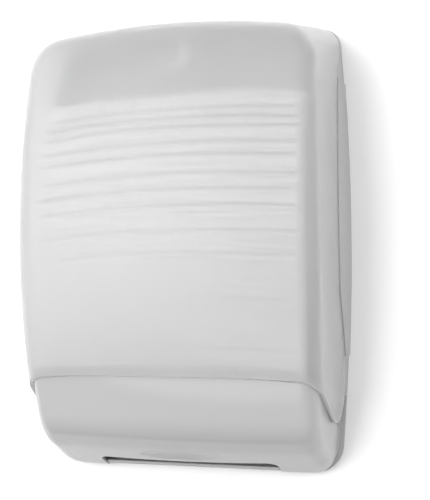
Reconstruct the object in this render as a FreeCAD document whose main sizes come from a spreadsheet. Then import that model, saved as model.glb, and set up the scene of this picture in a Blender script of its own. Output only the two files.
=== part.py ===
"""Wall dispenser for multifold paper towels.

A white back plate stands on the wall. It carries the chin, which is the fixed lower front with the
dispensing slot, and a translucent cover that drops forward on two pins close to the bottom of the case.
Millimetres, +Z up, the front faces -Y, the wall is the plane Y = 0, and the origin is the middle of the
four wall screw holes. A "depth" below is the distance from the wall, towards -Y.
"""
import FreeCAD, Part
import Sketcher
import math
import os
from FreeCAD import Placement, Rotation, Vector

SIZES = {
    # case: the outline on the wall and how it tapers and crowns
    "case_width": 290.0, "case_height": 423.5, "case_depth": 121.6,
    "side_draft": 0.10, "top_draft": 0.213, "side_barrel": 9.5, "top_crown": 14.4,
    "front_bulge": 35.1, "bulge_height": 35.9, "cross_bulge": 10.0,
    "top_corner_rear": 19.0, "top_corner_front": 41.5, "top_round": 40.0, "top_lift": 5.2,
    "bottom_corner": 26.2, "front_round": 20.0, "skin": 2.2,
    # where the cover ends and the chin begins
    "seam_height": -113.4, "seam_overlap": 4.5, "seam_round": 5.0, "chin_inset": 4.1,
    "bead_front": 82.0, "bead_rear": 54.0, "bead_back": 1.5, "bead_width": 2.5, "bead_inset": 3.6,
    "chin_brow_depth": 101.2, "chin_brow_height": -112.0, "chin_knee_depth": 82.1, "chin_knee_height": -172.4,
    "chin_toe_depth": 18.0, "chin_toe_height": -203.2, "chin_knee_round": 52.3, "chin_bottom": -203.8,
    "chin_rear": 10.4, "slot_half": 84.0, "slot_front": 37.0, "slot_round": 9.2, "slot_lip": 5.4,
    "scoop_length": 84.0, "scoop_bite": 3.0, "scoop_round": 22.0, "scoop_depth": 52.0,
    # back plate
    "plate": 3.0, "plate_inset": 0.1, "rim_inset": 3.7, "rim_wall": 2.2, "rim_depth": 10.4,
    "skirt_inset": 0.2, "pad_proud": 1.0, "pad_top": 149.6, "pad_end": -98.0,
    "edge_gap": 0.8, "lip_gap": 0.6, "rear_lip_half": 82.5, "rear_lip_depth": 19.0, "rear_lip_top": -198.2,
    "rear_lip_bottom": -201.2, "wall_hole": 2.75, "wall_hole_x": 92.0, "wall_hole_z": 120.0,
    # hinge
    "pivot_depth": 28.0, "pivot_height": -146.0, "cheek_inner": 124.5, "cheek_outer": 128.0,
    "cheek_front": 42.0, "cheek_top": -124.0, "cheek_bottom": -172.0, "bush_radius": 5.0,
    "bush_flange_radius": 7.2, "bush_flange_outer": 129.6, "bush_bore": 2.56, "pin_radius": 2.5,
    "pin_inner": 121.8, "pin_outer": 135.2, "groove_inner": 123.2, "groove_outer": 124.2,
    "groove_radius": 1.9,
    "clip_thickness": 0.9, "clip_radius": 4.4, "clip_bore": 1.95, "boss_inner": 130.2, "boss_radius": 6.8,
    "stop_reach": 10.6, "stop_width": 3.6, "stop_outer": 133.4, "tooth_angle": -20.0, "lug_angle": 83.0,
    # towels, their shelf and their guides
    "towel_half": 117.5, "towel_deep": 75.5, "towel_top": 114.6, "towel_bottom": -147.7, "stack_front": 105.2,
    "stack_height": 15.0, "stack_radius": 520.0, "rib_x": 60.0, "rib_wall": 2.4, "rib_gap": 0.4,
    "shelf_top": -148.0, "shelf_thickness": 3.0, "shelf_half": 120.4, "shelf_rear": 5.0,
    "shelf_corner": 66.0, "shelf_front": 79.5, "shelf_corner_cut": 16.0, "ledge_width": 12.0,
    "ledge_front": 42.0, "ledge_height": 9.0,
    "throat_half": 86.0, "throat_rear": 14.0, "throat_front": 36.0, "throat_wall": 1.6,
    "throat_bottom": -184.9,
    "guide_inner": 120.2, "guide_wall": 1.8, "guide_foot": 12.0, "guide_foot_thickness": 2.0,
    "guide_depth": 68.0, "guide_lip": 4.0, "guide_bottom": -118.0, "guide_top": 100.0,
    # lock, on an upright axis through the top of the cover
    "lock_depth": 40.0, "lock_seat": 199.6, "lock_recess": 11.6, "lock_boss_radius": 14.0,
    "lock_boss_bottom": 191.6, "barrel_radius": 8.0, "barrel_head_radius": 10.5, "barrel_head": 2.5,
    "barrel_bottom": 168.0, "plug_radius": 5.5, "plug_bore": 5.56, "plug_rim": 6.5, "plug_rim_bore": 6.56,
    "plug_rim_bottom": 200.9, "plug_seat": 200.8, "plug_top": 201.9, "tail_half": 3.0, "tail_length": 2.3,
    "key_slot_half": 3.2, "key_slot_width": 1.8, "key_slot_depth": 12.0, "nut_height": 4.5,
    "nut_radius": 11.5,
    "cam_bottom": 165.1, "cam_thickness": 2.6, "cam_hub": 7.0, "cam_arm_half": 4.0, "cam_reach": 26.0,
    "cam_finger": 14.5, "cam_finger_width": 6.8, "cam_screw_head": 4.5, "cam_screw_head_height": 2.4,
    "cam_screw_shank": 1.9, "cam_screw_bore": 1.95, "cam_screw_length": 6.5, "cam_screw_hole": 9.0,
    # striker, a bent steel strip behind which the cam turns
    "strip": 1.6, "bend_outer": 2.2, "bend_inner": 0.8, "striker_left": 5.0, "striker_right": 17.0,
    "striker_bottom": 161.6, "striker_web": 173.1, "striker_foot_top": 195.1, "striker_reach": 25.0,
    # bumpers and their posts
    "bumper_x": 116.0, "bumper_z": 182.0, "post_radius": 5.5, "post_depth": 21.5, "bumper_radius": 4.5,
    "bumper_height": 4.0, "bumper_stem": 2.0, "bumper_stem_length": 5.0, "stop_rib": 2.4,
    "stop_rib_bottom": 177.0,
    "stop_rib_gap": 0.3, "stop_rib_front": 46.0,
    # screws
    "screw_shank": 1.5, "screw_bore": 1.55, "screw_head": 3.0, "screw_head_height": 1.8, "screw_length": 3.8,
    "shelf_screw_length": 6.5, "shelf_counterbore": 3.3, "shelf_counterbore_depth": 2.0,
    "chin_screw_x": 112.0, "chin_screw_z": -178.0, "chin_screw_shank": 1.95, "chin_screw_bore": 2.0,
    "chin_screw_head": 3.8, "chin_screw_head_height": 2.4, "chin_screw_length": 22.0, "chin_post_radius": 4.6,
    "chin_boss_radius": 6.5, "chin_counterbore": 4.3, "chin_counterbore_depth": 3.4,
}
SIDES = (("left", -1), ("right", 1))
GUIDE_SCREW_HEIGHTS = ("-100", "-9", "82")
SHELF_SCREW_DEPTHS = (12.0, 36.0)

doc = FreeCAD.newDocument("towel_dispenser")
sheet = doc.addObject("Spreadsheet::Sheet", "Sizes")
for row, (alias, number) in enumerate(SIZES.items(), start=1):
    sheet.set("A%d" % row, alias)
    sheet.set("B%d" % row, "%g" % number)
    sheet.setAlias("B%d" % row, alias)
doc.recompute()
parts = []


def size(alias):
    """A driving dimension, read from the sheet."""
    return float(sheet.get(alias))


def total(text):
    """The value of a sum such as "plug_top - collar_gap"."""
    value, sign = 0.0, 1.0
    for word in str(text).split():
        if word in ("+", "-"):
            sign = 1.0 if word == "+" else -1.0
        else:
            value += sign * (size(word) if word in SIZES else float(word))
    return value


def bound(text):
    """The same sum as an expression on the sheet."""
    return " ".join("Sizes." + word if word in SIZES else word for word in text.split())


def keep(piece, label):
    """Name a finished sub-part and list it for writing."""
    piece.Label = label
    parts.append(piece)
    return piece


def moulding(label, shape):
    """A moulded sub-part whose curved skin is made from the sheet's sizes in this file."""
    piece = doc.addObject("Part::Feature", label)
    piece.Shape = shape
    piece.Placement = Placement()
    return keep(piece, label)


# Skin of the case

def half_width(height, depth, inset):
    """Half the case's width, which is barrelled over its height and tapers towards the front."""
    barrel = size("side_barrel") * (2 * height / size("case_height")) ** 2
    return size("case_width") / 2 - inset - barrel - size("side_draft") * depth


def crown_height(x, depth, inset):
    """Height of the crowned top, which slopes down towards the front."""
    crown = size("top_crown") * (2 * x / size("case_width")) ** 2
    return size("case_height") / 2 - inset - crown - size("top_draft") * depth


def outline(inset, depth, bottom):
    """The case's outline at one depth: two barrelled sides, a crowned top and a straight base."""
    shoulder = size("case_height") / 2 - size("top_crown")
    for _ in range(6):
        shoulder = crown_height(half_width(shoulder, depth, inset), depth, inset)
    middle = (shoulder + bottom) / 2

    def side(height, hand):
        return Vector(hand * half_width(height, depth, inset), -depth, height)

    top = Vector(0, -depth, crown_height(0, depth, inset))
    edges = [
        Part.Arc(side(bottom, 1), side(middle, 1), side(shoulder, 1)).toShape(),
        Part.Arc(side(shoulder, 1), top, side(shoulder, -1)).toShape(),
        Part.Arc(side(shoulder, -1), side(middle, -1), side(bottom, -1)).toShape(),
        Part.makeLine(side(bottom, -1), side(bottom, 1)),
    ]
    return Part.Wire(edges)


def runs_forward(edge, high):
    """Whether an edge is one of the long corner edges that run from the wall to the front."""
    ends = [vertex.Point for vertex in edge.Vertexes]
    if len(ends) != 2 or abs(ends[0].y - ends[1].y) < size("case_depth") / 2:
        return False
    return (ends[0].z > 0) == high


def prism(inset, bottom, bottom_round=0.0):
    """The tapering block inside the outline. Its top corners grow rounder towards the front."""
    far = size("case_depth") + 12
    block = Part.makeLoft([outline(inset, 0, bottom), outline(inset, far, bottom)], True, True)
    rear, front = size("top_corner_rear") - inset, size("top_corner_front") - inset
    for hand in (1, -1):
        corner = [edge for edge in block.Edges if runs_forward(edge, True)
                  and all(vertex.X * hand > 100 for vertex in edge.Vertexes)][0]
        starts_rear = abs(corner.valueAt(corner.FirstParameter).y) < 1
        radii = (rear, front) if starts_rear else (front, rear)
        block = block.makeFillet(radii[0], radii[1], [corner])
    if bottom_round:
        low = [e for e in block.Edges if runs_forward(e, False) and e.BoundBox.ZMax < bottom + 1]
        block = block.makeFillet(bottom_round, low)
    return block


def turned_front(profile, inset):
    """A block whose front is the given profile on the middle plane, swung about a far upright axis."""
    radius = (size("case_width") / 2) ** 2 / (2 * size("cross_bulge")) - inset
    axis = Vector(0, radius - size("case_depth") + inset, 0)
    face = Part.Face(profile)
    face.rotate(axis, Vector(0, 0, 1), -12)
    return face.revolve(axis, Vector(0, 0, 1), 24)


def front_edges(body, lowest):
    """The edges where the front meets the sides and the top at more than a slight angle."""
    found = []
    for edge in body.Edges:
        middle = edge.valueAt((edge.FirstParameter + edge.LastParameter) / 2)
        faces = body.ancestorsOfType(edge, Part.Face)
        if middle.y < -30 and middle.z > lowest and len(faces) == 2:
            first, second = [face.normalAt(*face.Surface.parameter(middle)) for face in faces]
            if math.degrees(first.getAngle(second)) > 8:
                found.append(edge)
    return found


def rolled_front(inset, low, behind):
    """Side view of the front: a shallow bulge that rolls over the top in a smaller arc."""
    half = size("case_height") / 2
    big = half ** 2 / (2 * size("front_bulge")) - inset
    middle_depth = size("case_depth") - inset - big
    middle_height = size("bulge_height")
    small = size("top_round") - inset
    slope = size("top_draft")
    length = math.hypot(1, slope)
    line = half - inset + size("top_lift")
    start = line - small * length
    drop = start - middle_height
    square = middle_depth ** 2 + drop ** 2 - (big - small) ** 2
    linear = middle_depth + slope * drop
    depth = (linear + (linear ** 2 - length ** 2 * square) ** 0.5) / length ** 2
    height = start - slope * depth

    def on_bulge(angle):
        return side_point(middle_depth + big * math.cos(angle), middle_height + big * math.sin(angle))

    def on_roll(angle):
        return side_point(depth + small * math.cos(angle), height + small * math.sin(angle))

    foot = math.asin((low - middle_height) / big)
    meet = math.atan2(height - middle_height, depth - middle_depth)
    crest = math.atan2(1, slope)
    back_high, back_low = side_point(-behind, line + slope * behind), side_point(-behind, low)
    return Part.Wire([
        Part.Arc(on_bulge(foot), on_bulge((foot + meet) / 2), on_bulge(meet)).toShape(),
        Part.Arc(on_roll(meet), on_roll((meet + crest) / 2), on_roll(crest)).toShape(),
        Part.makeLine(on_roll(crest), back_high), Part.makeLine(back_high, back_low),
        Part.makeLine(back_low, on_bulge(foot)),
    ])


def cover_body(inset):
    """Everything inside the cover's skin, from well below the seam to the top."""
    bottom = size("seam_height") - 65
    front = turned_front(rolled_front(inset, -210.0, 60.0), inset)
    body = prism(inset, bottom).common(front).Solids[0]
    return body.makeFillet(size("front_round") - inset, front_edges(body, bottom + 1))


def chin_body(inset):
    """Everything inside the chin's skin. The inset is taken from the cover's skin line."""
    extra = inset - size("chin_inset")
    brow = Vector(0, -size("chin_brow_depth") + extra, size("chin_brow_height"))
    knee = Vector(0, -size("chin_knee_depth") + extra, size("chin_knee_height") + extra * 0.8)
    toe = Vector(0, -size("chin_toe_depth"), size("chin_toe_height") + extra * 1.1)
    top = brow + (brow - knee) * 0.5
    heel = toe + (toe - knee) * 0.8
    corners = [top, knee, heel, Vector(0, 60, heel.z), Vector(0, 60, top.z), top]
    block = turned_front(Part.makePolygon(corners), 0)
    bends = [edge for edge in block.Edges
             if abs(edge.BoundBox.ZMax - knee.z) < 0.01 and abs(edge.BoundBox.ZMin - knee.z) < 0.01
             and edge.BoundBox.YMin < knee.y + 0.1]
    block = block.makeFillet(size("chin_knee_round") - extra, bends)
    body = prism(inset, size("chin_bottom") + extra, size("bottom_corner") - inset).common(block).Solids[0]
    return body.makeFillet(size("front_round") - inset, side_edges(body, size("chin_knee_height")))


def side_edges(body, above):
    """The two upright edges where the chin's front meets its sides, down to the knee."""
    found = []
    for edge in body.Edges:
        ends = [vertex.Point for vertex in edge.Vertexes]
        if len(ends) == 2 and all(abs(end.x) > 100 and end.y < -50 for end in ends):
            if abs(ends[0].z - ends[1].z) > 8 and max(end.z for end in ends) > above - 20:
                found.append(edge)
    return found


def slab(front, back, low=-230.0, high=230.0, half=170.0):
    """A box between two depths, across both sides."""
    return Part.makeBox(2 * half, front - back, high - low, Vector(-half, -front, low))


def extruded(wire, half=170.0):
    """A side view, pushed across the whole width."""
    face = Part.Face(wire)
    face.translate(Vector(-half, 0, 0))
    return face.extrude(Vector(2 * half, 0, 0))


def side_point(depth, height):
    """A point of the side view."""
    return Vector(0, -depth, height)


def rod(radius, start, end):
    """A round rod from start to end."""
    return Part.makeCylinder(radius, (end - start).Length, start, end - start)


# Side view of the cover's edge: the seam over the chin, the ear, and the edge along the back plate

SEAM_END = (43.0, -151.6)
SEAM_BEND = (99.8, -113.4)
EAR = ((32.8, -155.5), (23.5, -155.1), (16.0, -150.0), (12.0, -142.8), (10.0, -134.0))
REAR_EDGE = ((10.8, -121.0), (16.6, -94.5), (28.0, -67.5), (38.0, -41.0), (42.2, -6.0), (43.2, 38.0),
             (40.4, 73.5), (34.8, 110.0), (27.0, 143.8), (17.5, 163.0), (10.5, 174.0), (7.8, 186.0), (7.2, 215.0))


def spline(points):
    """A smooth edge through points of the side view."""
    curve = Part.BSplineCurve()
    curve.interpolate([side_point(*point) for point in points])
    return curve.toShape()


def cover_side():
    """The cover's side view as a wire."""
    far, high = 160.0, 215.0
    bend, end = side_point(*SEAM_BEND), side_point(*SEAM_END)
    level = Vector(0, -1, 0)
    slope = (end - bend).normalize()
    reach = size("seam_round")
    start_turn, end_turn = bend + level * reach, bend + slope * reach
    middle = (start_turn + end_turn) * 0.25 + bend * 0.5
    lower = Part.Arc(start_turn, middle, end_turn).toShape()
    edge = spline((SEAM_END,) + EAR + REAR_EDGE)
    corner_low, corner_high = side_point(far, size("seam_height")), side_point(far, high)
    return Part.Wire([
        Part.makeLine(corner_low, start_turn), lower, Part.makeLine(end_turn, end), edge,
        Part.makeLine(side_point(*REAR_EDGE[-1]), corner_high), Part.makeLine(corner_high, corner_low),
    ])


def bead_side():
    """Side view of the bead inside the cover's side walls, a little way back from the seam."""
    bend, end = side_point(*SEAM_BEND), side_point(*SEAM_END)
    slope = (end - bend).normalize()
    into = slope.cross(Vector(-1, 0, 0))
    front = bend + slope * ((SEAM_BEND[0] - size("bead_front")) / slope.y)
    rear = bend + slope * ((SEAM_BEND[0] - size("bead_rear")) / slope.y)
    near, far = into * size("bead_back"), into * total("bead_back + bead_width")
    return Part.makePolygon([front + near, rear + near, rear + far, front + far, front + near])


def skirt_side(reach):
    """Side view of what lies behind the cover's rear edge, stopping short of it, or past it if reach > 0."""
    points = [(depth + reach, height) for depth, height in EAR[-1:] + REAR_EDGE]
    wall_low, wall_high = side_point(0, points[0][1]), side_point(0, points[-1][1])
    return Part.Wire([
        spline(points), Part.makeLine(side_point(*points[-1]), wall_high),
        Part.makeLine(wall_high, wall_low), Part.makeLine(wall_low, side_point(*points[0])),
    ])


def chin_side():
    """Side view of the chin: its top edge runs a little way up behind the cover and clears the hinge."""
    overlap = size("seam_overlap")
    rear, low = size("chin_rear"), -230.0
    top = size("seam_height") + overlap
    corners = [
        (160.0, low), (160.0, top), (SEAM_BEND[0] - 4, top),
        (SEAM_END[0] - 2.2, SEAM_END[1] + 3.3), (36.0, -153.6), (24.0, -153.6), (rear, -161.0), (rear, low),
        (160.0, low),
    ]
    return Part.makePolygon([side_point(*corner) for corner in corners])


# Upper cover

def hinge_point(x):
    return Vector(x, -size("pivot_depth"), size("pivot_height"))


def stop_tooth(hand, angle):
    """The tooth on the cover's hinge boss that meets the cheek's lug. The angle is from +Z towards -Y."""
    inner, outer = size("boss_inner"), size("stop_outer")
    width = size("stop_width")
    tooth = Part.makeBox(outer - inner, width, size("stop_reach"), Vector(inner, -width / 2, 0))
    tooth.rotate(Vector(0, 0, 0), Vector(1, 0, 0), angle)
    tooth.translate(hinge_point(0))
    return tooth if hand > 0 else tooth.mirror(Vector(0, 0, 0), Vector(1, 0, 0))


def make_upper_cover():
    inside = cover_body(size("skin"))
    shell = cover_body(0.0).cut(inside).common(extruded(cover_side()))
    room = cover_body(size("skin") / 2)
    shell = shell.fuse(room.cut(cover_body(size("bead_inset"))).common(extruded(bead_side())))
    for _, hand in SIDES:
        boss = rod(size("boss_radius"), hinge_point(hand * size("boss_inner")), hinge_point(hand * 140.0))
        shell = shell.fuse(boss.fuse(stop_tooth(hand, size("tooth_angle"))).common(room))
        bore = rod(size("pin_radius"), hinge_point(hand * 120.0), hinge_point(hand * size("pin_outer")))
        shell = shell.cut(bore)
        rib = Part.makeBox(size("stop_rib"), 40.0, 40.0,
                           Vector(hand * size("bumper_x") - size("stop_rib") / 2, -size("stop_rib_front"),
                                  size("stop_rib_bottom")))
        rear = total("post_depth + bumper_height + stop_rib_gap")
        shell = shell.fuse(rib.common(room).common(slab(size("stop_rib_front"), rear)))
    axis = Vector(0, -size("lock_depth"), 0)
    seat, bottom = size("lock_seat"), size("lock_boss_bottom")
    boss = rod(size("lock_boss_radius"), axis + Vector(0, 0, bottom), axis + Vector(0, 0, seat + 10))
    shell = shell.fuse(boss.common(room))
    shell = shell.cut(rod(size("lock_recess"), axis + Vector(0, 0, seat), axis + Vector(0, 0, seat + 20)))
    hole_low, hole_high = axis + Vector(0, 0, bottom - 5), axis + Vector(0, 0, seat + 5)
    shell = shell.cut(rod(size("barrel_radius"), hole_low, hole_high))
    return moulding("upper_cover", shell.removeSplitter())


# Chin

def scoop():
    """A long shallow finger scoop: the outside of a large ring, lying in the chin's lip."""
    half, bite, small = size("scoop_length") / 2, size("scoop_bite"), size("scoop_round")
    big = (half ** 2 + bite ** 2) / (2 * bite)
    run = side_point(size("chin_knee_depth"), size("chin_knee_height"))
    toe = side_point(size("chin_toe_depth"), size("chin_toe_height"))
    along = (toe - run).normalize()
    outward = along.cross(Vector(1, 0, 0)).normalize()
    if outward.z > 0:
        outward = outward * -1
    at = run + along * ((size("chin_knee_depth") - size("scoop_depth")) / abs(along.y))
    return Part.makeTorus(big - small, small, at + outward * (big - bite), along)


def make_chin_shell():
    skin = size("chin_inset") + size("skin")
    outside, inside = chin_body(size("chin_inset")), chin_body(skin)
    shell = outside.cut(inside)
    lip = outside.cut(chin_body(size("chin_inset") + size("slot_lip")))
    front, back = total("slot_front + 30"), total("slot_front - 4")
    shell = shell.fuse(lip.common(slab(front, back, high=-165.0, half=size("slot_half") + 7)))
    for _, hand in SIDES:
        start = Vector(hand * size("chin_screw_x"), -size("chin_rear"), size("chin_screw_z"))
        post = rod(size("chin_post_radius"), start, start + Vector(0, -60, 0))
        shell = shell.fuse(post.common(outside))
        end = start - Vector(0, size("chin_screw_length"), 0)
        shell = shell.cut(rod(size("chin_screw_bore"), start + Vector(0, 1, 0), end))
    shell = shell.common(extruded(chin_side()))
    reach = size("slot_front")
    slot = Part.makeBox(2 * size("slot_half"), reach, 50.0, Vector(-size("slot_half"), -reach, -230.0))
    ends = [edge for edge in slot.Edges
            if abs(edge.BoundBox.YMax + reach) < 0.01 and edge.BoundBox.ZLength > 40]
    shell = shell.cut(slot.makeFillet(size("slot_round"), ends)).cut(scoop())
    return moulding("chin_shell", shell.removeSplitter())


# Back plate

def plate_outline(inset, front):
    """A slice of the case against the wall, as thick as the given depth."""
    bottom = size("chin_bottom") + inset - size("plate_inset")
    return prism(inset, bottom, size("bottom_corner") - inset).common(slab(front, 0))


def wall_rod(x, height, radius, front, rear):
    """A rod square to the wall, between two depths."""
    return rod(radius, Vector(x, -front, height), Vector(x, -rear, height))


def side_wall(outer, inner, reach, lowest):
    """A strip of the case's side and top skin behind the cover's rear edge, or past it if reach is positive."""
    bottom = size("chin_bottom")
    strip = prism(outer, bottom).cut(prism(inner, bottom))
    return strip.common(extruded(skirt_side(reach))).common(slab(60, 0, low=lowest))


def stack_depth(height, behind=0.0):
    """Depth of the towels' front, or of a line so far behind it."""
    radius = size("stack_radius")
    lean = radius - (radius ** 2 - (height - size("stack_height")) ** 2) ** 0.5
    return size("stack_front") - lean - behind


def towel_rib(x):
    """An upright rib whose front edge follows the back of the towels."""
    behind = size("towel_deep") + size("rib_gap")
    low, high = size("shelf_top") + 12, size("towel_top")
    points = [side_point(stack_depth(height, behind), height) for height in (low, (low + high) / 2, high)]
    rear = size("plate") - 1
    edges = [
        Part.Arc(*points).toShape(), Part.makeLine(points[2], side_point(rear, high)),
        Part.makeLine(side_point(rear, high), side_point(rear, low)), Part.makeLine(side_point(rear, low), points[0]),
    ]
    face = Part.Face(Part.Wire(edges))
    face.translate(Vector(x - size("rib_wall") / 2, 0, 0))
    return face.extrude(Vector(size("rib_wall"), 0, 0))


def cheek(hand):
    """The plate that carries one end of the hinge, with the ledge for the towel shelf and the stop lug."""
    inner, outer, front = size("cheek_inner"), size("cheek_outer"), size("cheek_front")
    low, high, rear = size("cheek_bottom"), size("cheek_top"), size("plate") - 1
    ear = Part.makeBox(outer - inner, front - rear, high - low, Vector(inner, -front, low))
    ear = ear.makeFillet(12.0, [edge for edge in ear.Edges if edge.BoundBox.XLength > 3
                                and abs(edge.BoundBox.YMin + front) < 0.01 and edge.BoundBox.YLength < 0.01])
    ledge_top = total("shelf_top - shelf_thickness")
    width, height = size("ledge_width"), size("ledge_height")
    ledge = Part.makeBox(width + 0.5, size("ledge_front") - rear, height,
                         Vector(inner - width, -size("ledge_front"), ledge_top - height))
    lug_width, lug_inner = size("stop_width"), size("bush_flange_radius") + 0.5
    lug = Part.makeBox(total("stop_outer - 0.4") - outer + 1, lug_width, 3.4,
                       Vector(outer - 1, -lug_width / 2, lug_inner))
    lug.rotate(Vector(0, 0, 0), Vector(1, 0, 0), size("lug_angle"))
    lug.translate(hinge_point(0))
    whole = ear.fuse([ledge, lug])
    whole = whole.cut(rod(size("bush_radius"), hinge_point(inner - 1), hinge_point(outer)))
    for depth in SHELF_SCREW_DEPTHS:
        top = Vector(shelf_screw_x(), -depth, ledge_top)
        whole = whole.cut(rod(size("screw_bore"), top, top - Vector(0, 0, 7.0)))
    return whole if hand > 0 else whole.mirror(Vector(0, 0, 0), Vector(1, 0, 0))


def make_back_plate():
    plate, gap, rim = size("plate"), size("edge_gap"), size("rim_inset")
    shape = plate_outline(size("plate_inset"), plate)
    rim_inner = rim + size("rim_wall")
    ring = plate_outline(rim, size("rim_depth")).cut(plate_outline(rim_inner, size("rim_depth")))
    skin, skirt = size("skin"), size("skirt_inset")
    under = skin + size("lip_gap")
    lowest = size("pad_end")
    pieces = [
        ring,
        side_wall(skirt, skirt + skin, -gap, -230.0),
        side_wall(skirt + 1.0, under + 1.8, -gap - 3.0, lowest),
        side_wall(under, under + 1.8, 3.0, lowest),
        side_wall(-size("pad_proud"), skirt + 1.0, -gap, lowest).common(extruded(pad_side())),
        towel_rib(-size("rib_x")), towel_rib(size("rib_x")), cheek(-1), cheek(1),
    ]
    half, lip_depth = size("rear_lip_half"), size("rear_lip_depth")
    thick = size("rear_lip_top") - size("rear_lip_bottom")
    lip = Part.makeBox(2 * half, lip_depth - 1, thick, Vector(-half, -lip_depth, size("rear_lip_bottom")))
    nose = [edge for edge in lip.Edges if edge.BoundBox.XLength > half and edge.BoundBox.YMax < 1 - lip_depth]
    pieces.append(lip.makeFillet(thick * 0.45, nose))
    holes = []
    for _, hand in SIDES:
        x, height = hand * size("chin_screw_x"), size("chin_screw_z")
        pieces.append(wall_rod(x, height, size("chin_boss_radius"), size("rim_depth"), 1.0))
        holes.append(wall_rod(x, height, size("chin_screw_bore") + 0.2, 20.0, 0.0))
        holes.append(wall_rod(x, height, size("chin_counterbore"), size("chin_counterbore_depth"), 0.0))
        x, height = hand * size("bumper_x"), size("bumper_z")
        pieces.append(wall_rod(x, height, size("post_radius"), size("post_depth"), 1.0))
        stem = total("post_depth - bumper_stem_length")
        holes.append(wall_rod(x, height, size("bumper_stem"), size("post_depth"), stem))
        for text in GUIDE_SCREW_HEIGHTS:
            holes.append(wall_rod(hand * guide_screw_x(), total(text), size("screw_bore"), plate + 1, 0.5))
        for up in (-1, 1):
            x, height = hand * size("wall_hole_x"), up * size("wall_hole_z")
            holes.append(wall_rod(x, height, size("wall_hole"), 10.0, 0.0))
    for height in striker_screw_heights():
        holes.append(wall_rod(striker_middle(), height, size("screw_bore"), plate + 1, 0.5))
    shape = shape.fuse(pieces)
    for hole in holes:
        shape = shape.cut(hole)
    return moulding("back_plate", shape.removeSplitter())


def pad_side():
    """Side view that gives the grip pad its arched top and its square foot."""
    top, low, front = size("pad_top"), size("pad_end"), 60.0
    crown = Part.Arc(side_point(front, top - 6), side_point(16, top), side_point(-5, top - 2.5)).toShape()
    lines = [(side_point(-5, top - 2.5), side_point(-5, low)), (side_point(-5, low), side_point(front, low)),
             (side_point(front, low), side_point(front, top - 6))]
    return Part.Wire([crown] + [Part.makeLine(start, end) for start, end in lines])


def guide_screw_x():
    return total("guide_inner + guide_wall + 6")


def shelf_screw_x():
    return total("cheek_inner - 7")


def striker_middle():
    return (size("striker_left") + size("striker_right")) / 2


def striker_screw_heights():
    return (total("striker_web + 6"), total("striker_foot_top - 5"))


# Bodies made from sketches

def origin_plane(body, role):
    return next(feature for feature in body.Origin.OriginFeatures if feature.Role == role)


def sketch_on(body, role, name, offset="0"):
    """A sketch on one of the body's own planes, or at a sum of sizes along the plane's normal."""
    sketch = body.newObject("Sketcher::SketchObject", name)
    sketch.AttachmentSupport = [(origin_plane(body, role), "")]
    sketch.MapMode = "FlatFace"
    if offset != "0":
        sketch.AttachmentOffset = Placement(Vector(0, 0, total(offset)), Rotation())
        sketch.setExpression("AttachmentOffset.Base.z", bound(offset))
    return sketch


def dimension(sketch, kind, where, text):
    """Add a dimension to a sketch and bind it to a sum of sizes."""
    index = sketch.addConstraint(Sketcher.Constraint(kind, *where, total(text)))
    sketch.setExpression("Constraints[%d]" % index, bound(text))


def fix_point(sketch, geometry, point, place):
    for kind, text in zip(("DistanceX", "DistanceY"), place):
        dimension(sketch, kind, (-1, 1, geometry, point), text)


def draw(sketch, places):
    """A closed outline of straight lines through places given as pairs of sums."""
    points = [Vector(total(x), total(y), 0) for x, y in places]
    first, count = sketch.GeometryCount, len(points)
    for start, end in zip(points, points[1:] + points[:1]):
        sketch.addGeometry(Part.LineSegment(start, end), False)
    for index, place in enumerate(places):
        before = first + (index - 1) % count
        sketch.addConstraint(Sketcher.Constraint("Coincident", before, 2, first + index, 1))
        fix_point(sketch, first + index, 1, place)


def draw_circle(sketch, place, radius):
    centre = Vector(total(place[0]), total(place[1]), 0)
    index = sketch.addGeometry(Part.Circle(centre, Vector(0, 0, 1), total(radius)), False)
    fix_point(sketch, index, 3, place)
    dimension(sketch, "Radius", (index,), radius)


def rectangle(left, right, low, high):
    return [(left, low), (right, low), (right, high), (left, high)]


def pad(body, sketch, name, length, reverse=False):
    feature = body.newObject("PartDesign::Pad", name)
    feature.Profile = sketch
    feature.Length = total(length)
    feature.setExpression("Length", bound(length))
    feature.Reversed = reverse
    doc.recompute()
    return feature


def pocket(body, sketch, name, length, reverse=False):
    """A pocket that must take something away."""
    before = body.Shape.Volume
    feature = body.newObject("PartDesign::Pocket", name)
    feature.Profile = sketch
    feature.Length = total(length)
    feature.setExpression("Length", bound(length))
    feature.Reversed = reverse
    doc.recompute()
    if body.Shape.Volume > before - 0.5:
        raise RuntimeError("%s cuts nothing" % name)
    return feature


def round_edges(body, name, radius, chosen):
    """Round the edges of the body's last feature that the test chooses."""
    base = body.Tip
    names = ["Edge%d" % (i + 1) for i, edge in enumerate(base.Shape.Edges) if chosen(edge.BoundBox)]
    feature = body.newObject("PartDesign::Fillet", name)
    feature.Base = (base, names)
    feature.Radius = total(radius)
    feature.setExpression("Radius", bound(radius))
    doc.recompute()
    return feature


def turned(label, profile):
    """A turned body: a closed half section of (radius, height) places, revolved about Z."""
    body = doc.addObject("PartDesign::Body", label)
    sketch = sketch_on(body, "XZ_Plane", label + "_section")
    draw(sketch, profile)
    feature = body.newObject("PartDesign::Revolution", label + "_turned")
    feature.Profile = sketch
    feature.ReferenceAxis = (sketch, ["V_Axis"])
    feature.Angle = 360
    doc.recompute()
    return body


def stand(body, place, rotation):
    """Put a body where it belongs: its own origin at a place given as three sums of sizes."""
    body.Placement = Placement(Vector(*[total(text) for text in place]), rotation)
    for axis, text in zip("xyz", place):
        body.setExpression("Placement.Base.%s" % axis, bound(text))


ALONG_X = Rotation(Vector(0, 1, 0), 90)
ALONG_MINUS_X = Rotation(Vector(0, 1, 0), -90)
INTO_WALL = Rotation(Vector(1, 0, 0), -90)
OUT_OF_WALL = Rotation(Vector(1, 0, 0), 90)
UPRIGHT = Rotation()
TURNED_OVER = Rotation(Vector(1, 0, 0), 180)


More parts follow.
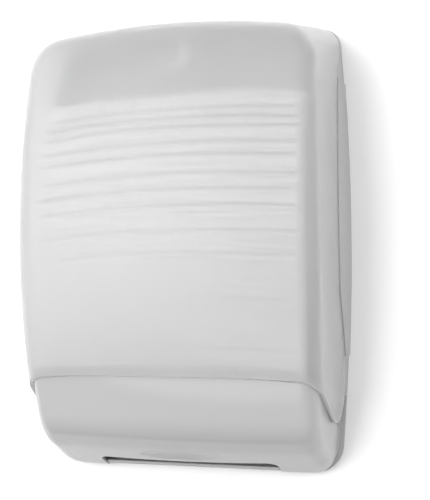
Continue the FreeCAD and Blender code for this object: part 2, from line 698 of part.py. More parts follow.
def screw_profile(head, head_height, shank, length):
    """A pan-head screw along Z. The head's bearing face is at 0 and the shank runs down."""
    return [("0", "0 - " + length), (shank + " - 0.6", "0 - " + length), (shank, "0.8 - " + length),
            (shank, "0"), (head, "0"), (head, head_height + " - 0.7"), (head + " - 0.9", head_height),
            ("0", head_height)]


def screw_group(label, profile, rotation, places):
    """Identical screws, each a solid of its own, in one sub-part."""
    pattern = turned(label + "_pattern", profile)
    copies = []
    for place in places:
        copy = pattern.Shape.copy()
        copy.Placement = Placement(Vector(*place), rotation)
        copies.append(copy)
    return moulding(label, Part.makeCompound(copies))


# Hinge: a flanged bush in each cheek, a pin held by the cover's ear, and a clip on the pin's inner end

def make_hinge():
    sleeve = "cheek_outer - cheek_inner"
    flange = "bush_flange_outer - cheek_inner"
    for side, hand in SIDES:
        turn = ALONG_X if hand > 0 else ALONG_MINUS_X
        sign = "0 + " if hand > 0 else "0 - "
        centre = ("0 - pivot_depth", "pivot_height")
        bush = turned("hinge_bush_" + side, [
            ("bush_bore", "0"), ("bush_radius", "0"), ("bush_radius", sleeve),
            ("bush_flange_radius", sleeve), ("bush_flange_radius", flange), ("bush_bore", flange)])
        stand(bush, (sign + "cheek_inner",) + centre, turn)
        keep(bush, "hinge_bush_" + side)

        length = "pin_outer - pin_inner"
        groove, shoulder = "groove_inner - pin_inner", "groove_outer - pin_inner"
        pin = turned("hinge_pin_" + side, [
            ("0", "0"), ("pin_radius - 0.4", "0"), ("pin_radius", "0.4"), ("pin_radius", groove),
            ("groove_radius", groove), ("groove_radius", shoulder), ("pin_radius", shoulder),
            ("pin_radius", length + " - 0.5"), ("pin_radius - 0.5", length), ("0", length)])
        stand(pin, (sign + "pin_inner",) + centre, turn)
        keep(pin, "hinge_pin_" + side)

        clip = doc.addObject("PartDesign::Body", "pin_clip_" + side)
        ring = sketch_on(clip, "XY_Plane", "clip_ring_" + side)
        draw_circle(ring, ("0", "0"), "clip_radius")
        draw_circle(ring, ("0", "0"), "clip_bore")
        pad(clip, ring, "clip_pad_" + side, "clip_thickness")
        mouth = sketch_on(clip, "XY_Plane", "clip_mouth_" + side)
        draw(mouth, rectangle("0 - clip_bore + 0.4", "clip_bore - 0.4", "0 - clip_radius - 1", "0"))
        pocket(clip, mouth, "clip_cut_" + side, "clip_thickness", True)
        stand(clip, (sign + "groove_inner " + ("+" if hand > 0 else "-") + " 0.05",) + centre, turn)
        keep(clip, "pin_clip_" + side)


# Guides: two equal folded channels that keep the towels in the middle; the left one is upside down

def make_guides():
    outer = "guide_inner + guide_wall"
    height = "guide_top - guide_bottom"
    for side, hand in SIDES:
        body = doc.addObject("PartDesign::Body", "guide_" + side)
        plan = sketch_on(body, "XY_Plane", "guide_plan_" + side, "guide_bottom")
        foot, back, front = outer + " + guide_foot", "0 - plate", "0 - guide_depth"
        draw(plan, [
            ("guide_inner", back), (foot, back), (foot, back + " - guide_foot_thickness"),
            (outer, back + " - guide_foot_thickness"), (outer, front + " + guide_wall"),
            (outer + " + guide_lip", front + " + guide_wall"), (outer + " + guide_lip", front),
            ("guide_inner", front)])
        pad(body, plan, "guide_pad_" + side, height)
        holes = sketch_on(body, "XZ_Plane", "guide_holes_" + side, "plate + 3")
        for place in GUIDE_SCREW_HEIGHTS:
            draw_circle(holes, (outer + " + 6", place), "screw_bore")
        pocket(body, holes, "guide_drill_" + side, "5")
        if hand < 0:
            body.Placement = Placement(Vector(0, 0, total("guide_top + guide_bottom")), Rotation(Vector(0, 1, 0), 180))
            body.setExpression("Placement.Base.z", bound("guide_top + guide_bottom"))
        keep(body, "guide_" + side)


# Shelf: a tray with a throat that leads the lowest towel down to the slot

def make_shelf():
    body = doc.addObject("PartDesign::Body", "towel_shelf")
    underside = "shelf_top - shelf_thickness"
    plan = sketch_on(body, "XY_Plane", "shelf_plan", underside)
    left, right = "0 - shelf_half", "shelf_half"
    draw(plan, [
        (left, "0 - shelf_rear"), (left, "0 - shelf_corner"), (left + " + shelf_corner_cut", "0 - shelf_front"),
        (right + " - shelf_corner_cut", "0 - shelf_front"), (right, "0 - shelf_corner"),
        (right, "0 - shelf_rear")])
    pad(body, plan, "shelf_pad", "shelf_thickness")
    tube = sketch_on(body, "XY_Plane", "throat_plan", underside)
    draw(tube, rectangle("0 - throat_half - throat_wall", "throat_half + throat_wall",
                         "0 - throat_front - throat_wall", "throat_wall - throat_rear"))
    pad(body, tube, "throat_pad", "shelf_top - shelf_thickness - throat_bottom", True)
    opening = sketch_on(body, "XY_Plane", "throat_opening", "shelf_top")
    draw(opening, rectangle("0 - throat_half", "throat_half", "0 - throat_front", "0 - throat_rear"))
    pocket(body, opening, "throat_cut", "shelf_top - throat_bottom + 1")
    for name, radius, length in (("shelf_holes", "screw_bore", "shelf_thickness + 1"),
                                 ("shelf_counterbores", "shelf_counterbore", "shelf_counterbore_depth")):
        sketch = sketch_on(body, "XY_Plane", name, "shelf_top")
        for sign in ("0 - ", "0 + "):
            for depth in SHELF_SCREW_DEPTHS:
                x = "7 - cheek_inner" if sign == "0 - " else "cheek_inner - 7"
                draw_circle(sketch, (x, "0 - %g" % depth), radius)
        pocket(body, sketch, name + "_cut", length)
    keep(body, "towel_shelf")


# Towels: one soft block, whose front and back follow the bulge of the cover

def make_towels():
    body = doc.addObject("PartDesign::Body", "towel_stack")
    side = sketch_on(body, "YZ_Plane", "towel_side", "0 - towel_half")
    low, high = size("towel_bottom"), size("towel_top")
    radius = size("stack_radius")
    centres = ("stack_radius - stack_front", "stack_radius - stack_front + towel_deep")
    for centre in centres:
        middle = Vector(total(centre), size("stack_height"), 0)
        ends = []
        for height in (high, low):
            across = (radius ** 2 - (height - middle.y) ** 2) ** 0.5
            ends.append(Vector(middle.x - across, height, 0))
        front = Vector(middle.x - radius, middle.y, 0)
        index = side.addGeometry(Part.Arc(ends[0], front, ends[1]), False)
        fix_point(side, index, 3, (centre, "stack_height"))
        dimension(side, "Radius", (index,), "stack_radius")
    for number, text in ((1, "towel_top"), (2, "towel_bottom")):
        points = [side.getPoint(index, number) for index in (0, 1)]
        line = side.addGeometry(Part.LineSegment(*points), False)
        for place, index in ((1, 0), (2, 1)):
            side.addConstraint(Sketcher.Constraint("Coincident", line, place, index, number))
            dimension(side, "DistanceY", (-1, 1, index, number), text)
    pad(body, side, "towel_pad", "towel_half + towel_half")
    keep(body, "towel_stack")


# Striker: a steel strip bent twice, screwed to the back plate above the lock

def make_striker():
    body = doc.addObject("PartDesign::Body", "striker")
    side = sketch_on(body, "YZ_Plane", "striker_side", "striker_left")
    web, reach, back = "striker_web", "0 - striker_reach", "0 - plate"
    draw(side, [
        (back, "striker_foot_top"), (back, web + " - strip"), (reach + " + strip", web + " - strip"),
        (reach + " + strip", "striker_bottom"), (reach, "striker_bottom"), (reach, web),
        (back + " - strip", web), (back + " - strip", "striker_foot_top")])
    pad(body, side, "striker_pad", "striker_right - striker_left")
    bends = (size("striker_web"), size("striker_web") - size("strip"))

    def bend(height, depth):
        return lambda box: (box.XLength > 5 and abs(box.ZMin - height) < 0.01 and box.ZLength < 0.01
                            and abs(box.YMin + depth) < 0.01)

    round_edges(body, "striker_outer_bend", "bend_outer", bend(bends[0], size("striker_reach")))
    round_edges(body, "striker_inner_bend", "bend_inner", bend(bends[0], total("plate + strip")))
    holes = sketch_on(body, "XZ_Plane", "striker_holes", "plate + 3")
    middle = "%g" % striker_middle()
    for height in ("striker_web + 6", "striker_foot_top - 5"):
        draw_circle(holes, (middle, height), "screw_bore")
    pocket(body, holes, "striker_drill", "5")
    keep(body, "striker")


# Screws, each head on what it clamps

def make_screws():
    short = screw_profile("screw_head", "screw_head_height", "screw_shank", "screw_length")
    face = -total("plate + guide_foot_thickness")
    screw_group("guide_screws", short, OUT_OF_WALL, [
        (hand * guide_screw_x(), face, total(text)) for _, hand in SIDES for text in GUIDE_SCREW_HEIGHTS])
    face = -total("plate + strip")
    screw_group("striker_screws", short, OUT_OF_WALL, [
        (striker_middle(), face, height) for height in striker_screw_heights()])
    long = screw_profile("screw_head", "screw_head_height", "screw_shank", "shelf_screw_length")
    top = total("shelf_top - shelf_counterbore_depth")
    screw_group("shelf_screws", long, UPRIGHT, [
        (hand * shelf_screw_x(), -depth, top) for _, hand in SIDES for depth in SHELF_SCREW_DEPTHS])
    chin = screw_profile("chin_screw_head", "chin_screw_head_height", "chin_screw_shank", "chin_screw_length")
    screw_group("chin_screws", chin, INTO_WALL, [
        (hand * size("chin_screw_x"), -size("chin_counterbore_depth"), size("chin_screw_z"))
        for _, hand in SIDES])


# Bumpers: rubber buttons, pressed into posts of the back plate, that the closed cover stands off by a hair

def make_bumpers():
    for side, hand in SIDES:
        stem, edge = "0 - bumper_stem_length", "bumper_radius - 1.2"
        bumper = turned("bumper_" + side, [
            ("0", stem), ("bumper_stem", stem), ("bumper_stem", "0"), ("bumper_radius", "0"),
            ("bumper_radius", "bumper_height - 1.2"), (edge, "bumper_height"), ("0", "bumper_height")])
        x = "bumper_x" if hand > 0 else "0 - bumper_x"
        stand(bumper, (x, "0 - post_depth", "bumper_z"), OUT_OF_WALL)
        keep(bumper, "bumper_" + side)


# Lock: a barrel and its nut on the cover, a plug that turns in it, and a hooked cam

def make_lock():
    axis = ("0", "0 - lock_depth", "0")
    head_top = "lock_seat + barrel_head"
    barrel = turned("lock_barrel", [
        ("plug_bore", "barrel_bottom"), ("barrel_radius", "barrel_bottom"), ("barrel_radius", "lock_seat"),
        ("barrel_head_radius", "lock_seat"), ("barrel_head_radius", head_top + " - 0.6"),
        ("barrel_head_radius - 0.6", head_top), ("plug_rim_bore", head_top), ("plug_rim_bore", "plug_seat"),
        ("plug_bore", "plug_seat")])
    stand(barrel, axis, UPRIGHT)
    keep(barrel, "lock_barrel")

    hexagon = doc.addObject("Part::Prism", "nut_blank")
    hexagon.Polygon = 6
    hexagon.setExpression("Circumradius", bound("nut_radius"))
    hexagon.setExpression("Height", bound("nut_height"))
    thread = doc.addObject("Part::Cylinder", "nut_thread")
    thread.setExpression("Radius", bound("barrel_radius"))
    thread.setExpression("Height", bound("nut_height"))
    for solid in (hexagon, thread):
        stand(solid, ("0", "0 - lock_depth", "lock_boss_bottom - nut_height"), UPRIGHT)
    nut = doc.addObject("Part::Cut", "lock_nut")
    nut.Base, nut.Tool = hexagon, thread
    doc.recompute()
    keep(nut, "lock_nut")

    shoulder = "cam_bottom + cam_thickness"
    plug = turned("lock_plug", [
        ("0", shoulder), ("plug_radius", shoulder), ("plug_radius", "plug_rim_bottom"),
        ("plug_rim", "plug_rim_bottom"), ("plug_rim", "plug_top - 0.3"), ("plug_rim - 0.3", "plug_top"),
        ("0", "plug_top")])
    square = rectangle("0 - tail_half", "tail_half", "0 - tail_half", "tail_half")
    tail = sketch_on(plug, "XY_Plane", "plug_tail", shoulder)
    draw(tail, square)
    pad(plug, tail, "plug_tail_pad", "tail_length", True)
    bore = sketch_on(plug, "XY_Plane", "plug_bore_end", shoulder + " - tail_length")
    draw_circle(bore, ("0", "0"), "cam_screw_bore")
    pocket(plug, bore, "plug_bore_cut", "cam_screw_hole", True)
    key = sketch_on(plug, "XY_Plane", "key_slot", "plug_top")
    draw(key, rectangle("0 - key_slot_half", "key_slot_half", "0 - key_slot_width", "0"))
    pocket(plug, key, "key_slot_cut", "key_slot_depth")
    stand(plug, axis, UPRIGHT)
    keep(plug, "lock_plug")

    cam = doc.addObject("PartDesign::Body", "latch_cam")
    arm = sketch_on(cam, "XY_Plane", "cam_arm", "cam_bottom")
    inner = "cam_finger_width - cam_reach"
    draw(arm, [
        ("0", "0 - cam_arm_half"), ("0", "cam_arm_half"), (inner, "cam_arm_half"), (inner, "cam_finger"),
        ("0 - cam_reach", "cam_finger"), ("0 - cam_reach", "0 - cam_arm_half")])
    pad(cam, arm, "cam_arm_pad", "cam_thickness")
    hub = sketch_on(cam, "XY_Plane", "cam_hub", "cam_bottom")
    draw_circle(hub, ("0", "0"), "cam_hub")
    pad(cam, hub, "cam_hub_pad", "cam_thickness")
    hole = sketch_on(cam, "XY_Plane", "cam_square", "cam_bottom")
    draw(hole, square)
    pocket(cam, hole, "cam_square_cut", "cam_thickness", True)
    stand(cam, axis, UPRIGHT)
    keep(cam, "latch_cam")

    screw = turned("cam_screw", screw_profile("cam_screw_head", "cam_screw_head_height", "cam_screw_shank",
                                              "cam_screw_length"))
    stand(screw, ("0", "0 - lock_depth", "cam_bottom"), TURNED_OVER)
    keep(screw, "cam_screw")


make_upper_cover()
make_chin_shell()
make_back_plate()
make_hinge()
make_guides()
make_shelf()
make_towels()
make_striker()
make_screws()
make_bumpers()
make_lock()
doc.recompute()

for item in doc.Objects:
    if "Invalid" in item.State or "Error" in item.State:
        raise RuntimeError("%s did not build: %s" % (item.Label, item.State))
for piece in parts:
    if piece.Shape.isNull() or not piece.Shape.isValid():
        raise RuntimeError("%s has no valid shape" % piece.Label)

os.makedirs("parts", exist_ok=True)
for piece in parts:
    piece.Shape.exportStep("parts/%s.step" % piece.Label)
    box = piece.Shape.BoundBox
    print("%-18s solids %d, volume %9.1f, x %.1f..%.1f, y %.1f..%.1f, z %.1f..%.1f" % (
        piece.Label, len(piece.Shape.Solids), piece.Shape.Volume,
        box.XMin, box.XMax, box.YMin, box.YMax, box.ZMin, box.ZMax))
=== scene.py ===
"""Wall dispenser for folded paper towels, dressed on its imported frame.

The sections follow the order in which the dispenser is put together on the wall: back plate, rubber
buttons, guides and shelf, screws, towels, chin, hinge, cover and lock, and then the room, the lamps and
the camera.
"""
import math
import random

import bpy
from mathutils import Matrix, Vector


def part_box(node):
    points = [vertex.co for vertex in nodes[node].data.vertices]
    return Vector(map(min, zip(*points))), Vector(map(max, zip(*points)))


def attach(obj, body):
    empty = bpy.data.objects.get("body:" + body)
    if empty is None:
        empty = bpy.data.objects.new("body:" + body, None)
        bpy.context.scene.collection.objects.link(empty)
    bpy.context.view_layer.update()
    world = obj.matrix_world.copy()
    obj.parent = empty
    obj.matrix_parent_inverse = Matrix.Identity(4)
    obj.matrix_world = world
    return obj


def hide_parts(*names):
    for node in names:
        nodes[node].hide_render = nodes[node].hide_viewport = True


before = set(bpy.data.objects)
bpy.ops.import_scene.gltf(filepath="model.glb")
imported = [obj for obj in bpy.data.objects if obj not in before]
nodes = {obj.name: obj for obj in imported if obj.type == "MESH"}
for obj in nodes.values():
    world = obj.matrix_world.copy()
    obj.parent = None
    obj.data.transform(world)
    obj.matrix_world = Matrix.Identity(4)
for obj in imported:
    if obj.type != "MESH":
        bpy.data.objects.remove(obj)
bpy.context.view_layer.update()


# Back plate. One injection moulding in opaque white plastic, with the ribs, posts and hinge cheeks moulded
# on, screwed flat to the wall. Its outside is a little darker and duller than the chin's, with the faint
# ripple that the tool left.

def wire(tree, *pairs):
    """Link each output to its input."""
    for start, goal in pairs:
        tree.links.new(start, goal)


def set_inputs(node, values):
    """Give a node's sockets their constants."""
    for socket, value in values.items():
        node.inputs[socket].default_value = value


def noise(tree, coordinates, scale, detail=2.0):
    """A noise texture on the given coordinates."""
    texture = tree.nodes.new("ShaderNodeTexNoise")
    set_inputs(texture, {"Scale": scale, "Detail": detail})
    tree.links.new(coordinates, texture.inputs["Vector"])
    return texture


def moulded_skin_group():
    """Colour, roughness and normal of moulded plastic: slow flow marks, a fine ripple and wiped dust."""
    group = bpy.data.node_groups.new("moulded_skin", "ShaderNodeTree")
    for name, kind in (("Colour", "Color"), ("Flow Colour", "Color"), ("Gloss", "Float"), ("Ripple", "Float"),
                       ("Dust", "Float")):
        group.interface.new_socket(name, in_out="INPUT", socket_type="NodeSocket" + kind)
    for name, kind in (("Colour", "Color"), ("Roughness", "Float"), ("Normal", "Vector")):
        group.interface.new_socket(name, in_out="OUTPUT", socket_type="NodeSocket" + kind)
    given, out = group.nodes.new("NodeGroupInput"), group.nodes.new("NodeGroupOutput")
    place = group.nodes.new("ShaderNodeTexCoord").outputs["Object"]

    flow = noise(group, place, scale=7.0, detail=3.0)
    flow.inputs["Roughness"].default_value = 0.45
    tint = group.nodes.new("ShaderNodeMix")
    tint.data_type = "RGBA"
    tint_from, tint_to, tinted = tint.inputs[6], tint.inputs[7], tint.outputs[2]
    wire(group, (flow.outputs["Fac"], tint.inputs["Factor"]), (given.outputs["Colour"], tint_from),
         (given.outputs["Flow Colour"], tint_to), (tinted, out.inputs["Colour"]))

    specks = noise(group, place, scale=160.0, detail=4.0)
    film = group.nodes.new("ShaderNodeMath")
    film.operation = "MULTIPLY_ADD"
    wire(group, (specks.outputs["Fac"], film.inputs[0]), (given.outputs["Dust"], film.inputs[1]),
         (given.outputs["Gloss"], film.inputs[2]), (film.outputs[0], out.inputs["Roughness"]))

    waves = noise(group, place, scale=28.0)
    bump = group.nodes.new("ShaderNodeBump")
    bump.inputs["Distance"].default_value = 0.001
    wire(group, (given.outputs["Ripple"], bump.inputs["Strength"]), (waves.outputs["Fac"], bump.inputs["Height"]),
         (bump.outputs["Normal"], out.inputs["Normal"]))
    return group


moulded_skin = moulded_skin_group()


def blank_material(name):
    """A new material, with its node tree and its shader."""
    material = bpy.data.materials.new(name)
    material.use_nodes = True
    return material, material.node_tree, material.node_tree.nodes["Principled BSDF"]


def moulded_plastic(name, colour, flow_colour, gloss, ripple, dust=0.06, shader_values={}):
    """A plastic finish on the moulded skin."""
    material, tree, shader = blank_material(name)
    skin = tree.nodes.new("ShaderNodeGroup")
    skin.node_tree = moulded_skin
    set_inputs(skin, {"Colour": (*colour, 1.0), "Flow Colour": (*flow_colour, 1.0), "Gloss": gloss,
                      "Ripple": ripple, "Dust": dust})
    wire(tree, (skin.outputs["Colour"], shader.inputs["Base Color"]),
         (skin.outputs["Roughness"], shader.inputs["Roughness"]), (skin.outputs["Normal"], shader.inputs["Normal"]))
    set_inputs(shader, shader_values)
    return material


def finish(material, *pieces):
    """Give pieces of the frame their own finish."""
    for piece in pieces:
        nodes[piece].data.materials.clear()
        nodes[piece].data.materials.append(material)


plate_grey = moulded_plastic("plate_grey", (0.445, 0.445, 0.445), (0.465, 0.465, 0.465), gloss=0.38, ripple=0.05,
                             shader_values={"Specular IOR Level": 0.3})
finish(plate_grey, "back_plate")


# Rubber buttons. Two black moulded bumpers with a stem, pressed into the posts of the back plate; the
# closed cover stands a hair off them.

bumper_black = moulded_plastic("bumper_black", (0.018, 0.018, 0.019), (0.03, 0.03, 0.03), gloss=0.62, ripple=0.15,
                               dust=0.2)
finish(bumper_black, "bumper_left", "bumper_right")


# Guides and shelf. Satin white mouldings screwed to the back plate; the guides keep the towels in the
# middle and the shelf carries them and leads the lowest one into the slot.

inner_white = moulded_plastic("inner_white", (0.62, 0.62, 0.62), (0.65, 0.65, 0.65), gloss=0.42, ripple=0.10,
                              dust=0.12)
finish(inner_white, "guide_left", "guide_right", "towel_shelf")


# Screws, striker, cam, pins and clips. Zinc-plated steel: bright, a little cloudy, with the fine marks of
# the tumbling drum.

def ramp(tree, factor, dark, light):
    """A colour that runs from dark to light with the factor."""
    tone = tree.nodes.new("ShaderNodeValToRGB")
    for element, colour in zip(tone.color_ramp.elements, (dark, light)):
        element.color = (*colour, 1.0)
    tree.links.new(factor, tone.inputs["Fac"])
    return tone.outputs["Color"]


def plated_metal(name, cloud_scale, cloud_detail, dark, light, polish, scratched):
    """Plated metal whose cloudiness sets its colour, its roughness and, where scratched, its normal."""
    material, tree, shader = blank_material(name)
    place = tree.nodes.new("ShaderNodeTexCoord").outputs["Object"]
    cloud = noise(tree, place, cloud_scale, cloud_detail).outputs["Fac"]
    dull = tree.nodes.new("ShaderNodeMapRange")
    set_inputs(dull, {"To Min": polish[0], "To Max": polish[1]})
    wire(tree, (cloud, dull.inputs["Value"]), (dull.outputs["Result"], shader.inputs["Roughness"]),
         (ramp(tree, cloud, dark, light), shader.inputs["Base Color"]))
    if scratched:
        scratch = tree.nodes.new("ShaderNodeBump")
        set_inputs(scratch, {"Strength": 0.08, "Distance": 0.0002})
        wire(tree, (cloud, scratch.inputs["Height"]), (scratch.outputs["Normal"], shader.inputs["Normal"]))
    shader.inputs["Metallic"].default_value = 1.0
    return material


zinc_steel = plated_metal("zinc_steel", cloud_scale=420.0, cloud_detail=5.0, dark=(0.50, 0.50, 0.49),
                          light=(0.68, 0.68, 0.66), polish=(0.26, 0.46), scratched=True)
finish(zinc_steel, "guide_screws", "striker_screws", "shelf_screws", "chin_screws", "cam_screw", "striker",
       "latch_cam", "hinge_pin_left", "hinge_pin_right", "pin_clip_left", "pin_clip_right", "lock_nut")


# Towels. A tall stack of multifold paper towels, pulp white and softly embossed, put in by the handful:
# each handful shows as a step in the folded edges. The ends of the stack droop, and the top towels lie
# loose and further back.

towel_width, towel_deep, towel_fold = 0.235, 0.0755, 0.0027
fold_round, width_cuts = 0.46 * towel_fold, 13
stack_low, stack_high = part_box("towel_stack")
loose_top = stack_high.z + 0.0170
handfuls = (0.1165, 0.1075, 0.0985, 0.0855, 0.0755, 0.0590, 0.0450, 0.0315, 0.0095, -0.0080, -0.0460, -0.0900)
front_reach, front_radius, front_middle = 0.1050, 0.520, 0.015
droop_left, droop_left_span = 0.0090, 0.13
droop_right, droop_right_span = 0.0038, 0.11
droop_middle, droop_height = 0.01, 0.14
wave_pitch, wave_tight, wave_loose = 40.0, 0.0003, 0.0008


def pick_long_edges(towel):
    """In edit mode, select only the edges that run across the towel's width."""
    bpy.ops.mesh.select_all(action="DESELECT")
    bpy.ops.object.mode_set(mode="OBJECT")
    for edge in towel.data.edges:
        start, end = (towel.data.vertices[index].co.x for index in edge.vertices)
        edge.select = abs(start - end) > towel_width / 2
    bpy.ops.object.mode_set(mode="EDIT")


bpy.ops.object.select_all(action="DESELECT")
bpy.ops.mesh.primitive_cube_add(size=1.0, location=(0.0, 0.0, 0.0))
one_towel = bpy.context.object
one_towel.scale = (towel_width, towel_deep, towel_fold)
bpy.ops.object.transform_apply(location=False, rotation=False, scale=True)
bpy.ops.object.mode_set(mode="EDIT")
pick_long_edges(one_towel)
bpy.ops.mesh.bevel(offset=fold_round, segments=3, profile=0.5, affect="EDGES")
pick_long_edges(one_towel)
bpy.ops.mesh.subdivide(number_cuts=width_cuts)
bpy.ops.object.mode_set(mode="OBJECT")

pile = random.Random(11)
towels = []
height = stack_low.z + towel_fold / 2
handful_shift = 0.0
while height < loose_top:
    loose = max(0.0, (height - stack_high.z) / (loose_top - stack_high.z))
    if any(abs(height - step) < towel_fold / 2 for step in handfuls):
        handful_shift = pile.uniform(-0.0012, 0.0012)
        setback = -0.0026 - 0.0044 * min(1.0, max(0.0, (height + 0.02) / 0.10))
    else:
        setback = pile.uniform(-0.0005, 0.0005) - 0.016 * loose ** 1.5
    front = front_reach - (front_radius - math.sqrt(front_radius ** 2 - (height - front_middle) ** 2))
    sheet = one_towel.copy()
    sheet.data = one_towel.data.copy()
    bpy.context.collection.objects.link(sheet)
    shift = pile.uniform(-0.0008, 0.0008)
    sag = min(1.0, (height - stack_low.z) / droop_height)
    wave = pile.uniform(0.0, 6.28)
    for vertex in sheet.data.vertices:
        x = vertex.co.x
        droop = (droop_left * (min(x - droop_middle, 0.0) / droop_left_span) ** 2
                 + droop_right * (max(x - droop_middle, 0.0) / droop_right_span) ** 2)
        ripple = (wave_tight + wave_loose * loose) * sag * math.sin(x * wave_pitch + wave)
        vertex.co.z += height - sag * droop + ripple
        vertex.co.y -= front + handful_shift - towel_deep / 2 + (setback if vertex.co.y < 0.0 else 0.0)
        vertex.co.x += shift
    towels.append(sheet)
    height += towel_fold * (1.0 + 0.35 * loose)
bpy.data.objects.remove(one_towel)
bpy.ops.object.select_all(action="DESELECT")
for sheet in towels:
    sheet.select_set(True)
bpy.context.view_layer.objects.active = towels[0]
bpy.ops.object.join()
towel_pile = bpy.context.object
towel_pile.name = "folded_towels"
bpy.ops.object.shade_smooth_by_angle(angle=math.radians(50))


def towel_paper_finish():
    """Pulp paper: fine fibres that lie along the fold, and a pressed emboss."""
    material, tree, shader = blank_material("towel_paper")
    place = tree.nodes.new("ShaderNodeTexCoord").outputs["Object"]
    stretch = tree.nodes.new("ShaderNodeMapping")
    stretch.inputs["Scale"].default_value = (0.35, 1.0, 3.0)
    tree.links.new(place, stretch.inputs["Vector"])
    fibre = noise(tree, stretch.outputs["Vector"], scale=420.0, detail=6.0).outputs["Fac"]
    emboss = tree.nodes.new("ShaderNodeTexVoronoi")
    emboss.inputs["Scale"].default_value = 380.0
    relief = tree.nodes.new("ShaderNodeMix")
    relief.inputs["Factor"].default_value = 0.5
    relief_from, relief_to, relief_height = relief.inputs[2], relief.inputs[3], relief.outputs[0]
    bump = tree.nodes.new("ShaderNodeBump")
    set_inputs(bump, {"Strength": 0.35, "Distance": 0.0006})
    paper_white = ramp(tree, fibre, (0.86, 0.86, 0.858), (0.93, 0.93, 0.928))
    wire(tree, (paper_white, shader.inputs["Base Color"]), (place, emboss.inputs["Vector"]),
         (fibre, relief_from), (emboss.outputs["Distance"], relief_to), (relief_height, bump.inputs["Height"]),
         (bump.outputs["Normal"], shader.inputs["Normal"]))
    set_inputs(shader, {"Roughness": 0.92, "Sheen Weight": 0.15})
    return material


towel_pile.data.materials.clear()
towel_pile.data.materials.append(towel_paper_finish())
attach(towel_pile, "chassis")
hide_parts("towel_stack")


# Chin. The fixed lower front, moulded in opaque white with a high gloss and screwed on from behind; the
# slot is cut in its underside, with a shallow finger scoop in front of it.

case_white = moulded_plastic("case_white", (0.50, 0.50, 0.50), (0.52, 0.52, 0.52), gloss=0.05, ripple=0.03,
                             dust=0.03, shader_values={"Specular IOR Level": 0.5})
finish(case_white, "chin_shell")


# Hinge. Grey acetal bushes pressed into the cheeks; the steel pins and clips have the plated finish.

bush_grey = moulded_plastic("bush_grey", (0.10, 0.10, 0.105), (0.13, 0.13, 0.135), gloss=0.38, ripple=0.05,
                            dust=0.1)
finish(bush_grey, "hinge_bush_left", "hinge_bush_right")


# Cover. A thin drop-front moulded in milky translucent plastic, smooth on the outside. The towels'
# folded edges show faintly through it; it is held by the two hinge pins and the lock.

cover_milky = moulded_plastic("cover_milky", (0.93, 0.93, 0.933), (0.95, 0.95, 0.953), gloss=0.28, ripple=0.06,
                              shader_values={"IOR": 1.40, "Transmission Weight": 0.78, "Coat Weight": 0.5,
                                             "Coat Roughness": 0.34})
finish(cover_milky, "upper_cover")


# Lock. A die-cast barrel through the top of the cover, plated in satin chrome, with a turning plug of the
# same finish.

lock_chrome = plated_metal("lock_chrome", cloud_scale=260.0, cloud_detail=4.0, dark=(0.40, 0.40, 0.41),
                           light=(0.50, 0.50, 0.51), polish=(0.24, 0.38), scratched=False)
finish(lock_chrome, "lock_barrel", "lock_plug")


# Room. A plain white painted wall behind the back plate, and a pale floor far below. The wall is clear
# from behind, also for light that reaches the plate's back across the hairline gap between the two. The
# floor throws no light back, since the photograph's underside is dark.

wall_gap, lit_gap = 0.0006, 0.0008
floor_level = -1.25


def painted_surface(name, colour):
    """Matt paint with a hint of mottle."""
    material, tree, shader = blank_material(name)
    place = tree.nodes.new("ShaderNodeTexCoord").outputs["Object"]
    mottle = noise(tree, place, scale=3.0).outputs["Fac"]
    shade = tuple(0.99 * part for part in colour)
    tree.links.new(ramp(tree, mottle, shade, colour), shader.inputs["Base Color"])
    set_inputs(shader, {"Roughness": 0.9, "Specular IOR Level": 0.0})
    return material


def clear_from_behind(material):
    """Let a surface's paint show only from the front, and only to light that comes from far enough."""
    tree = material.node_tree
    clear, side, path, touching, unpainted, choose = (tree.nodes.new("ShaderNode" + kind) for kind in (
        "BsdfTransparent", "NewGeometry", "LightPath", "Math", "Math", "MixShader"))
    touching.operation, unpainted.operation = "LESS_THAN", "MAXIMUM"
    touching.inputs[1].default_value = lit_gap
    wire(tree, (path.outputs["Ray Length"], touching.inputs[0]), (touching.outputs[0], unpainted.inputs[0]),
         (side.outputs["Backfacing"], unpainted.inputs[1]), (unpainted.outputs[0], choose.inputs["Fac"]),
         (tree.nodes["Principled BSDF"].outputs["BSDF"], choose.inputs[1]),
         (clear.outputs["BSDF"], choose.inputs[2]),
         (choose.outputs["Shader"], tree.nodes["Material Output"].inputs["Surface"]))
    return material


bpy.ops.object.select_all(action="DESELECT")
bpy.ops.mesh.primitive_plane_add(size=6.0, location=(0.0, wall_gap, 0.4), rotation=(math.radians(90), 0.0, 0.0))
wall = bpy.context.object
wall.name = "wall"
wall.data.materials.append(clear_from_behind(painted_surface("wall_paint", (0.97, 0.97, 0.97))))
bpy.ops.mesh.primitive_plane_add(size=8.0, location=(0.0, -2.0, floor_level))
floor = bpy.context.object
floor.name = "floor"
floor.data.materials.append(painted_surface("floor_paint", (0.72, 0.72, 0.715)))
floor.visible_diffuse = floor.visible_glossy = floor.visible_transmission = False


# Lamps. A wide soft lamp and a small one, both left of the front, throw the soft narrow shadow on the wall
# to the right. A long low lamp shows only as a sheen on the chin's brow and the lower cover. The rest of the
# light is a pale room, brightest at eye level and dark below.

case_middle = (0.0, -0.05, 0.0)


def soft_lamp(name, place, target, size, power):
    """An area lamp that faces its target."""
    lamp = bpy.data.lights.new(name, "AREA")
    lamp.shape = "RECTANGLE"
    lamp.size, lamp.size_y = size
    lamp.energy = power
    holder = bpy.data.objects.new(name, lamp)
    bpy.context.collection.objects.link(holder)
    holder.location = place
    holder.rotation_euler = (Vector(target) - Vector(place)).to_track_quat("-Z", "Y").to_euler()
    return holder


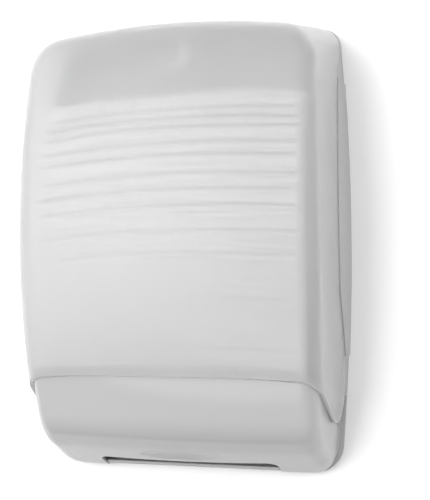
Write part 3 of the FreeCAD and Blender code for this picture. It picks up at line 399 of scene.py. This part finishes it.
soft_lamp("left_lamp", (-1.15, -2.25, 0.25), case_middle, size=(1.6, 2.0), power=19.0)
front_lamp = soft_lamp("front_lamp", (-0.75, -2.30, 0.12), case_middle, size=(0.55, 0.55), power=11.0)
front_lamp.visible_glossy = front_lamp.visible_transmission = False
low_lamp = soft_lamp("low_lamp", (-0.65, -1.40, -0.81), (-0.65, 0.0, -0.81), size=(4.5, 0.86), power=21.0)
low_lamp.visible_camera = low_lamp.visible_diffuse = low_lamp.visible_transmission = False

straight_down, straight_up = 0.10, 0.60
glow_by_height = ((0.37, 0.14), (0.395, 1.10), (0.50, 1.95), (0.60, 1.85))
side_share = 0.62

room = bpy.data.worlds.new("room")
bpy.context.scene.world = room
room.use_nodes = True
sky = room.node_tree.nodes
toward, apart, tilt, fade, depthwise, frontwise, both = (sky.new("ShaderNode" + kind) for kind in (
    "TexCoord", "SeparateXYZ", "MapRange", "ValToRGB", "Math", "MapRange", "Math"))
tilt.inputs["From Min"].default_value = -1.0
for spot, glow in glow_by_height:
    fade.color_ramp.elements.new(spot).color = (glow, glow, glow, 1.0)
fade.color_ramp.elements[0].color = (straight_down, straight_down, straight_down, 1.0)
fade.color_ramp.elements[-1].color = (straight_up, straight_up, straight_up, 1.0)
depthwise.operation, both.operation = "ABSOLUTE", "MULTIPLY"
frontwise.inputs["To Min"].default_value = side_share
wire(room.node_tree, (toward.outputs["Generated"], apart.inputs["Vector"]),
     (apart.outputs["Z"], tilt.inputs["Value"]), (tilt.outputs["Result"], fade.inputs["Fac"]),
     (apart.outputs["Y"], depthwise.inputs[0]), (depthwise.outputs[0], frontwise.inputs["Value"]),
     (fade.outputs["Color"], both.inputs[0]), (frontwise.outputs["Result"], both.inputs[1]),
     (both.outputs[0], sky["Background"].inputs["Strength"]))
sky["Background"].inputs["Color"].default_value = (1.0, 1.0, 1.0, 1.0)
bpy.context.scene.view_settings.view_transform = "Standard"


# Camera. It stands a little to the right of the dispenser and below its middle, and looks slightly up.

focal_px, frame_long = 1006.9, 500.0
stand, yaw, pitch = Vector((0.27908, -0.91134, -0.05226)), math.radians(16.049), math.radians(3.076)
ahead = Vector((-math.sin(yaw) * math.cos(pitch), math.cos(yaw) * math.cos(pitch), math.sin(pitch)))
across = Vector((math.cos(yaw), math.sin(yaw), 0.0))
above = across.cross(ahead)
lens = bpy.data.cameras.new("camera")
lens.sensor_width = 36.0
lens.lens = focal_px / frame_long * lens.sensor_width
lens.clip_start, lens.clip_end = 0.01, 30.0
camera = bpy.data.objects.new("camera", lens)
bpy.context.collection.objects.link(camera)
turn = Matrix((across, above, -ahead)).transposed().to_4x4()
camera.matrix_world = Matrix.Translation(stand) @ turn
bpy.context.scene.camera = camera
